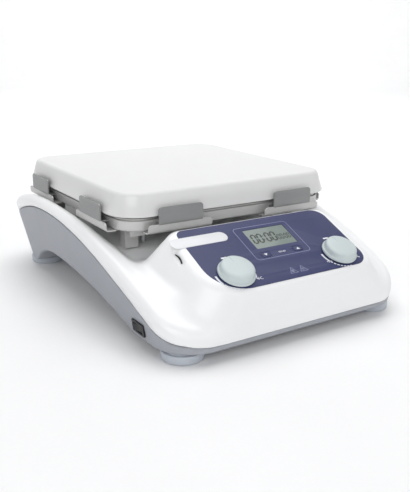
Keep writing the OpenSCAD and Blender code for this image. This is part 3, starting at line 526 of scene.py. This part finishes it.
def slab(loops, z0, z1, bevel=0.0):
    """A flat plate: the first loop is its outline, the others are holes; its edges are rounded by bevel."""
    curve = bpy.data.curves.new("slab", "CURVE")
    curve.dimensions = "2D"
    curve.fill_mode = "BOTH"
    for k, points in enumerate(loops):
        spline = curve.splines.new("POLY")
        spline.points.add(len(points) - 1)
        for p, (x, y) in zip(spline.points, points if k == 0 else points[::-1]):
            p.co = (x, y, 0, 1)
        spline.use_cyclic_u = True
    curve.extrude = (z1 - z0) / 2 - bevel
    curve.bevel_depth = bevel
    curve.bevel_resolution = 2
    curve.offset = -bevel
    holder = bpy.data.objects.new("slab", curve)
    bpy.context.scene.collection.objects.link(holder)
    made = bpy.data.meshes.new_from_object(holder.evaluated_get(bpy.context.evaluated_depsgraph_get()))
    bpy.data.objects.remove(holder)
    bpy.data.curves.remove(curve)
    made.transform(Matrix.Translation((0, 0, (z0 + z1) / 2)))
    work = bmesh.new()
    work.from_mesh(made)
    bmesh.ops.remove_doubles(work, verts=work.verts, dist=0.001)
    bmesh.ops.recalc_face_normals(work, faces=work.faces)
    work.to_mesh(made)
    work.free()
    return made


# ---------------------------------------------------------------- hotplate and tray
def plate_profile():
    """Section of the plate from its top round the flared skirt and up inside."""
    edge, lip, top = 3.2, 0.9, -SKIRT_TAPER
    outer = [(top - edge - 0.6, PLATE_TOP)] + arc(top - edge, PLATE_TOP - edge, edge, 90, 17, 7)
    foot = arc(SKIRT_FLARE - lip, SKIRT_Z + lip, lip, 0, -90, 4)
    inner = [(-1.4, SKIRT_Z), (-2.1, SKIRT_Z + 0.7)]
    inner += [(-4.4, PLATE_TOP - 7), (-6.4, PLATE_TOP - 5), (-7.5, PLATE_TOP - 5)]
    return outer + foot + inner


put("hot_top_plate", sweep(plate_profile()), "plate_white", stands_for=["top_plate"])


def folded_strip(path):
    """A strip of sheet on the front edge at x = 0, its path given as (outward, height, half width)."""
    n = 7
    verts = [(wide * step, -out, z) for out, z, wide in path for step in np.linspace(-1, 1, n)]
    cells = [(row * n + c, row * n + c + 1) for row in range(len(path) - 1) for c in range(n - 1)]
    work = bmesh.new()
    work.from_mesh(faces_mesh(verts, [(a, b, b + n, a + n) for a, b in cells]))
    bmesh.ops.recalc_face_normals(work, faces=work.faces)
    bmesh.ops.solidify(work, geom=work.faces[:], thickness=SHEET)
    mesh = bpy.data.meshes.new("strip")
    work.to_mesh(mesh)
    work.free()
    return mesh


def channel_mesh():
    """The folded channel that carries a tab: out from the tray, up, and out again under the tab."""
    out, long, bend = PLATE_HALF + CHANNEL_OUT, TAB_W / 2 + 8, 1.5
    path = [(PLATE_HALF - 4, TRAY_Z, long)]
    path += [(r, z, long) for r, z in arc(out - bend, TRAY_Z + bend, bend, -90, 0, 5)]
    lip = [(0, -1.6, 0), (0, -1.0, 0.4), (0.1, -0.3, 1.2), (0.4, 0, 2.0), (0.9, 0, 2.4)]
    return folded_strip(path + [(out + dx, CHANNEL_Z + dz, long - cut) for dx, dz, cut in lip])


def tab_mesh():
    """One bent-up tab with the shelf it is bent from."""
    out, z0, z1, half = PLATE_HALF + CHANNEL_OUT + 1.2, CHANNEL_Z - 1.0, TRAY_HI[2], TAB_W / 2
    bend, corner, shelf = 1.2, 2.5, 14
    path = [(out - shelf, z0, half)] + [(r, z, half) for r, z in arc(out - bend, z0 + bend, bend, -90, 0, 5)]
    path += [(out, z, half) for z in np.linspace(z0 + 2.6, z1 - corner, 4)]
    turns = [math.radians(a) for a in (18, 36, 54, 72, 90)]
    path += [(out, z1 - corner + corner * math.sin(a), half - corner * (1 - math.cos(a))) for a in turns]
    return folded_strip(path)


def on_edges(make):
    """Two copies of a mesh on each side of the tray."""
    made = []
    for quarter in range(4):
        turn = Matrix.Translation((0, PLATE_Y, 0)) @ Matrix.Rotation(quarter * math.pi / 2, 4, "Z")
        for x in (-TAB_AT, TAB_AT):
            mesh = make()
            mesh.transform(turn @ Matrix.Translation((x, 0, 0)))
            made.append(mesh)
    return made


def tray_mesh():
    """Floor and upright rim under the plate, with the channels that carry the tabs."""
    bend, inside, edge, opening = 1.6, -RIM_INSET - SHEET, 0.3, 45
    band = arc(-RIM_INSET - bend, TRAY_Z + bend, bend, 0, -90, 5) + [(-8.5, TRAY_Z), (-8.5, TRAY_Z + SHEET)]
    band += [(inside - 0.8, TRAY_Z + SHEET), (inside, TRAY_Z + 1.9), (inside, RIM_Z - edge)]
    band += [(inside + edge, RIM_Z), (-RIM_INSET - edge, RIM_Z), (-RIM_INSET, RIM_Z - edge)]
    h = PLATE_HALF - 8
    loops = [rounded(-h, h, PLATE_Y - h, PLATE_Y + h, (13,) * 4), arc(0, PLATE_Y, opening, 0, 354, 60)]
    floor = slab(loops, TRAY_Z, TRAY_Z + SHEET, 0.1)
    return joined([sweep(band, closed=True), floor] + on_edges(channel_mesh))


put("tray_and_channels", tray_mesh(), "sheet_steel", stands_for=["plate_tray"])
# The tabs take the darker steel copy: painted shade on their faces.
put("upright_tabs", joined(on_edges(tab_mesh)), "sheet_steel", stands_for=["plate_tray"], finish=TAB_SHADED_STEEL)


# ---------------------------------------------------------------- console
def window(at, size, room, r, n):
    """Outline of a rectangle round a spot on the panel, grown by room, with corners of radius r."""
    wide, tall = size[0] / 2 + room, size[1] / 2 + room
    return rounded(at[0] - wide, at[0] + wide, -at[1] - tall, -at[1] + tall, (r,) * 4, n)


HOLES = [window(LCD, LCD_SIZE, 0.1, 0.8, 4)]
HOLES += [window(key, KEY_SIZE, 0.3, 1.2, 5) for key in KEYS]
HOLES += [arc(x, -s, 1.5, 0, 345, 24) for x, s in LAMPS]
HOLES += [arc(x, -KNOB_S, 4.75, 0, 350, 36) for x in (-KNOB_X, KNOB_X)]
OVERLAY = rounded(-PANEL_HALF, PANEL_HALF, -PANEL_LEN, 0, PANEL_CORNERS, 14)
put(
    "blue_overlay", slab([OVERLAY] + HOLES, -0.5, 0.14, 0.1),
    "panel_blue", stands_for=["panel_overlay"], place=ON_PANEL,
)

PRINT_LO, PRINT_HI = 0.12, 0.19
SCALE_R = 13.5


def outline_ring(x0, x1, y0, y1, r, wide):
    """A printed rectangle drawn as a line."""
    inner = rounded(x0 + wide, x1 - wide, y0 + wide, y1 - wide, (r - wide,) * 4)
    return slab([rounded(x0, x1, y0, y1, (r,) * 4), inner], PRINT_LO, PRINT_HI)


def arc_band(cx, a0, a1, w0, w1, n=16):
    """A printed arc round a knob, from width w0 to w1."""
    rays = [(math.cos(math.radians(a)), math.sin(math.radians(a))) for a in np.linspace(a0, a1, n)]
    widths = np.linspace(w0, w1, n)
    outer = [(cx + (SCALE_R + w) * c, -KNOB_S + (SCALE_R + w) * s) for (c, s), w in zip(rays, widths)]
    inner = [(cx + SCALE_R * c, -KNOB_S + SCALE_R * s) for c, s in rays]
    return slab([outer + inner[::-1]], PRINT_LO, PRINT_HI)


def lettering(text, size, x, s):
    """A printed word centred on a spot of the panel."""
    curve = bpy.data.curves.new("text", "FONT")
    curve.body = text
    curve.size = size
    curve.align_x = "CENTER"
    curve.align_y = "CENTER"
    curve.extrude = (PRINT_HI - PRINT_LO) / 2
    holder = bpy.data.objects.new("text", curve)
    bpy.context.scene.collection.objects.link(holder)
    mesh = bpy.data.meshes.new_from_object(holder.evaluated_get(bpy.context.evaluated_depsgraph_get()))
    bpy.data.objects.remove(holder)
    mesh.transform(Matrix.Translation((x, -s, (PRINT_LO + PRINT_HI) / 2)))
    return mesh


def triangle(cx, cy, size):
    """Outline of a triangle that points up the panel."""
    return arc(cx, cy, size, 90, 330, 3)


def panel_prints():
    """The white prints: a dash over each knob, its scale of ever thinner arcs, and the words."""
    made = []
    for x in (-KNOB_X, KNOB_X):
        made.append(slab([rounded(x - 1.2, x + 3.4, -33.2, -31.8, (0.4,) * 4, 3)], PRINT_LO, PRINT_HI))
        made.append(arc_band(x, 172, 204, 1.5, 1.3))
        for k, a in enumerate(range(207, 270, 10)):
            made.append(arc_band(x, a, a + 7, 1.2 - 0.08 * k, 1.1 - 0.08 * k, 5))
        made.append(arc_band(x, -30, 2, 0.6, 0.6))
        made.append(arc_band(x, -32, -29, 2.2, 2.2, 3))
    made.append(lettering("timer", 2.8, 2.4, 36.6))
    made.append(lettering("°C", 3.2, -29.2, 56.4))
    made.append(lettering("rpm", 3.0, 30.8, 54.6))
    return made


def faint_prints():
    """The dim blue prints: a frame round display and keys, and a triangle round each indicator."""
    made = [outline_ring(-21, 25.5, -41, -7, 3.0, 0.45)]
    for x, s in LAMPS:
        made.append(slab([triangle(x, -s - 0.4, 3.9), triangle(x, -s - 0.4, 3.1)], PRINT_LO, PRINT_HI))
    return made


put("faint_prints", joined(faint_prints()), "panel_blue", place=ON_PANEL, finish=INK_FAINT)
put("panel_prints", joined(panel_prints()), "panel_blue", place=ON_PANEL, finish=INK_WHITE)

BADGE_END, BADGE_W, BADGE_S, BADGE_R = -28.0, 44.0, 12.2, 4.8
BADGE = rounded(BADGE_END - BADGE_W, BADGE_END, -BADGE_S - BADGE_R, -BADGE_S + BADGE_R, (BADGE_R,) * 4, 12)
put("blank_badge", slab([BADGE], 0.02, 0.42, 0.12), "badge_white", stands_for=["badge_plate"], place=ON_PANEL)

put(
    "display_window", slab([window(LCD, LCD_SIZE, 0, 0.6, 4)], -3.3, -0.1, 0.15),
    "lcd_glass", stands_for=["lcd_window"], place=ON_PANEL,
)


def segment(x0, y0, x1, y1, w):
    """Outline of one segment of a digit, pointed at both ends."""
    long, k = math.hypot(x1 - x0, y1 - y0), w / 2
    ux, uy = (x1 - x0) / long, (y1 - y0) / long
    nx, ny = -uy * k, ux * k
    return [
        (x0, y0), (x0 + ux * k + nx, y0 + uy * k + ny), (x1 - ux * k + nx, y1 - uy * k + ny),
        (x1, y1), (x1 - ux * k - nx, y1 - uy * k - ny), (x0 + ux * k - nx, y0 + uy * k - ny),
    ]


def zero(x, y, wide, tall, w):
    """Outlines of a slanting zero's six segments, its lower left corner at (x, y)."""
    gap, slant = 0.12, 0.10
    ends = [(gap, tall, wide - gap, tall), (gap, 0, wide - gap, 0)]
    ends += [(px, py + gap, px, py + tall / 2 - gap) for px in (0, wide) for py in (0, tall / 2)]
    return [[(x + px + slant * py, y + py) for px, py in segment(*end, w)] for end in ends]


def display_digits():
    """Two large and two small pairs of zeros, each with a colon between its pairs."""
    left, base = LCD[0] - 15.4, -LCD[1]
    large, small = (3.2, 8.6, 1.35), (1.6, 5.2, 0.65)
    loops = []
    for kind, offsets in ((large, (0, 4.9, 11.4, 16.3)), (small, (21.0, 23.7, 27.0, 29.7))):
        for offset in offsets:
            loops += zero(left + offset, base - 4.4, *kind)
    for dx, dy, r in ((9.6, -1.8, 0.5), (10.0, 1.8, 0.5), (26.2, -3.2, 0.25), (26.5, -1.0, 0.25)):
        loops.append(arc(left + dx, base + dy, r, 0, 330, 12))
    return [slab([loop], -0.12, -0.05) for loop in loops]


put("display_digits", joined(display_digits()), "lcd_glass", place=ON_PANEL, finish=INK_DARK)

for way, at, points_up in (("down", KEYS[0], -1), ("up", KEYS[1], 1)):
    body = f"timer_{way}_key"
    cap = slab([window(at, KEY_SIZE, 0, 1.0, 6)], -3.8, 0.3, 0.25)
    put(f"{way}_key_cap", cap, "panel_blue", body, [f"key_timer_{way}"], ON_PANEL)
    mark = [(at[0] + px, -at[1] + points_up * py) for px, py in ((-1.5, -0.9), (1.5, -0.9), (0, 1.1))]
    put(f"{way}_key_cap_mark", slab([mark], 0.28, 0.35), "panel_blue", body, place=ON_PANEL, finish=INK_WHITE)

# Radius and height: domed cap, its flank, the rim round its foot, and the hollow with the shaft's hole
KNOB_PROFILE = [
    (0, 7.6), (5, 7.56), (8.6, 7.42), (9.9, 7.2), (10.7, 6.8), (11.15, 6.1), (11.4, 5.0), (11.6, 3.2),
    (11.9, 2.9), (12.3, 2.75), (12.55, 2.4), (12.6, 2.0), (12.6, 1.4), (12.4, 1.0), (12.0, 0.8),
    (8.0, 0.8), (8.0, 3.4), (3.02, 3.4), (3.02, 6.1), (0, 6.1),
]
POINTER_TURN = math.radians(8)
for side, sets, x in (("left", "temp", -KNOB_X), ("right", "speed", KNOB_X)):
    spot = ON_PANEL @ Matrix.Translation((x, -KNOB_S, 0))
    pointer = slab([rounded(-0.6, 0.6, 4.6, 9.4, (0.5,) * 4, 5)], 6.0, 7.72, 0.2)
    pointer.transform(Matrix.Rotation(POINTER_TURN, 4, "Z"))
    knob = joined([lathe(KNOB_PROFILE), pointer])
    put(f"{side}_knob", knob, "knob_pale", f"{sets}_control", [f"{sets}_knob"], spot)

# No slit is cut through the shell: a black leaf at the bottom of the dish stands for the slit's dark inside,
# painted shade.
SLIT_LEAN = Matrix.Rotation(math.radians(-52), 4, "Y")
SLIT_PLACE = ON_PANEL @ Matrix.Translation((SLIT[0], -SLIT[1], -2.9)) @ SLIT_LEAN
leaf = arc(-9.4, 0, 10.0, -27, 27, 12) + arc(-13.2, 0, 12.8, 20, -20, 12)
put("flank_slit_shade", slab([leaf], -2.0, 0.15, 0.08), "black_plastic", place=SLIT_PLACE)

# ---------------------------------------------------------------- feet and rocker
# Radius and height, from the screw's recess over the tread and the disc's edge to the neck under the housing
FOOT_PROFILE = [
    (0, 3.0), (4.9, 3.0), (4.9, 0.2), (5.2, 0), (12.8, 0), (13.6, 0.3), (14, 1.0), (14, 5.1),
    (13.8, 5.7), (13.3, 6.0), (12.0, 6.0), (11.8, 6.2), (11.8, BASE_Z), (0, BASE_Z),
]
for side in ("front_left", "front_right", "rear_left", "rear_right"):
    lo, hi = box_mm("foot_" + side)
    centre = (lo + hi) / 2
    put("round_foot_" + side, lathe(FOOT_PROFILE[::-1]), "foot_rubber", stands_for=["foot_" + side],
        place=Matrix.Translation((centre[0], centre[1], 0)))

LEAN = math.atan(SIDE_DRAFT)
SIDE = Matrix((
    (0, -math.sin(LEAN), -math.cos(LEAN), SIDE_AT[0]),
    (-1, 0, 0, SIDE_AT[1]),
    (0, math.cos(LEAN), -math.sin(LEAN), SIDE_AT[2]),
    (0, 0, 0, 1),
))
SLEEVE_DEPTH = 15.8
mouth = rounded(-5.75, 5.75, -2.9, 2.9, (0.4,) * 4)
bezel = slab([rounded(-7.7, 7.7, -4.4, 4.4, (1.2,) * 4), mouth], 0.0, 1.2, 0.3)
sleeve = slab([rounded(-6.4, 6.4, -3.4, 3.4, (0.5,) * 4), mouth], -SLEEVE_DEPTH, 0.4, 0.05)
back = slab([rounded(-6.2, 6.2, -3.2, 3.2, (0.5,) * 4)], -SLEEVE_DEPTH, -9.0, 0.05)
put("rocker_bezel", joined([bezel, sleeve, back]), "black_plastic", stands_for=["rocker_frame"], place=SIDE)


def rocker_mesh():
    """The rocker seen from above is a block with a hollow face, pressed in at its front end."""
    reach, face, rise, hollow, depth = 4.65, 1.6, 0.8, 0.8, 4.2
    shares = np.linspace(-1, 1, 15)
    shape = [(reach * t, face - rise * t - hollow * (1 - t ** 2)) for t in shares]
    shape += [(reach, -depth), (-reach, -depth)]
    turned = slab([shape[::-1]], -2.6, 2.6, 0.3)
    turned.transform(Matrix.Rotation(math.pi / 2, 4, "X"))
    return turned


put("rocker_cap", rocker_mesh(), "black_plastic", "rocker", ["power_rocker"], SIDE)

# ---------------------------------------------------------------- edges of the CAD nodes that stay
for node_name, cad in frame["nodes"].items():
    if node_name not in REPLACED:
        soft = cad.modifiers.new("edges", "BEVEL")
        soft.width = 0.25 * MM
        soft.segments = 2
        soft.limit_method = "ANGLE"
        soft.angle_limit = SHARP
        soft.use_clamp_overlap = True

# ---------------------------------------------------------------- floor, lights and camera
FLOOR = material("floor", (0.94, 0.94, 0.94), 0.75, grain=400, tint=0.02, bump=0.02)
FLOOR_R, WALL_CURVE, WALL_H = 2.2, 0.7, 2.6


def backdrop():
    """A round floor that curves up into a wall on every side."""
    turns = np.linspace(0, math.pi / 2, 14)
    bend = [(FLOOR_R + WALL_CURVE * math.sin(a), WALL_CURVE * (1 - math.cos(a))) for a in turns]
    mesh = lathe([(0, 0), (FLOOR_R / 2, 0)] + bend + [(FLOOR_R + WALL_CURVE, WALL_H)])
    mesh.flip_normals()
    mesh.materials.append(FLOOR)
    mesh.shade_smooth()
    made = bpy.data.objects.new("backdrop", mesh)
    bpy.context.scene.collection.objects.link(made)


def softbox(name, at, aim, size, power):
    """A rectangular light of size metres at a place, turned to what it aims at."""
    light = bpy.data.lights.new(name, "AREA")
    light.shape = "RECTANGLE"
    light.size, light.size_y = size
    light.energy = power
    lamp = bpy.data.objects.new(name, light)
    lamp.location = at
    lamp.rotation_euler = (Vector(aim) - Vector(at)).to_track_quat("-Z", "Y").to_euler()
    bpy.context.scene.collection.objects.link(lamp)


CAM_AT = Vector((-0.2812, -0.4547, 0.1891))
CAM_YAW, CAM_PITCH, CAM_ROLL = 0.578, 0.293, 0.008
CAM_LENS, CAM_SENSOR = 59.66, 36.0


def camera():
    """Yaw turns to the right of the Y axis, pitch looks down, roll leans to the right."""
    data = bpy.data.cameras.new("camera")
    data.sensor_fit = "HORIZONTAL"
    data.sensor_width = CAM_SENSOR
    data.lens = CAM_LENS
    data.clip_start, data.clip_end = 0.01, 50.0
    made = bpy.data.objects.new("camera", data)
    ahead = Vector((math.sin(CAM_YAW), math.cos(CAM_YAW), 0))
    forward = ahead * math.cos(CAM_PITCH) - Vector((0, 0, math.sin(CAM_PITCH)))
    level = Vector((math.cos(CAM_YAW), -math.sin(CAM_YAW), 0))
    above = level.cross(forward)
    right = level * math.cos(CAM_ROLL) + above * math.sin(CAM_ROLL)
    up = above * math.cos(CAM_ROLL) - level * math.sin(CAM_ROLL)
    turn = Matrix((right, up, -forward)).transposed()
    made.matrix_world = Matrix.Translation(CAM_AT) @ turn.to_4x4()
    bpy.context.scene.collection.objects.link(made)
    bpy.context.scene.camera = made


OBJECT_MIDDLE = (0, 0, 0.05)
backdrop()
softbox("top", (0.15, 0.25, 1.5), OBJECT_MIDDLE, (1.6, 1.4), 17.5)
softbox("front_left", (-1.2, -1.3, 0.9), OBJECT_MIDDLE, (1.2, 1.0), 11)
softbox("front_right", (0.8, -1.6, 0.9), OBJECT_MIDDLE, (1.2, 1.0), 3.5)
softbox("far_wall", (0.7, 1.1, 1.7), (1.5, 2.4, 0.4), (1.6, 0.8), 23)
camera()

world = bpy.data.worlds.new("studio")
world.use_nodes = True
world.node_tree.nodes["Background"].inputs["Color"].default_value = (0.93, 0.95, 1.0, 1)
world.node_tree.nodes["Background"].inputs["Strength"].default_value = 0.2
bpy.context.scene.world = world
bpy.context.scene.view_settings.view_transform = "Standard"
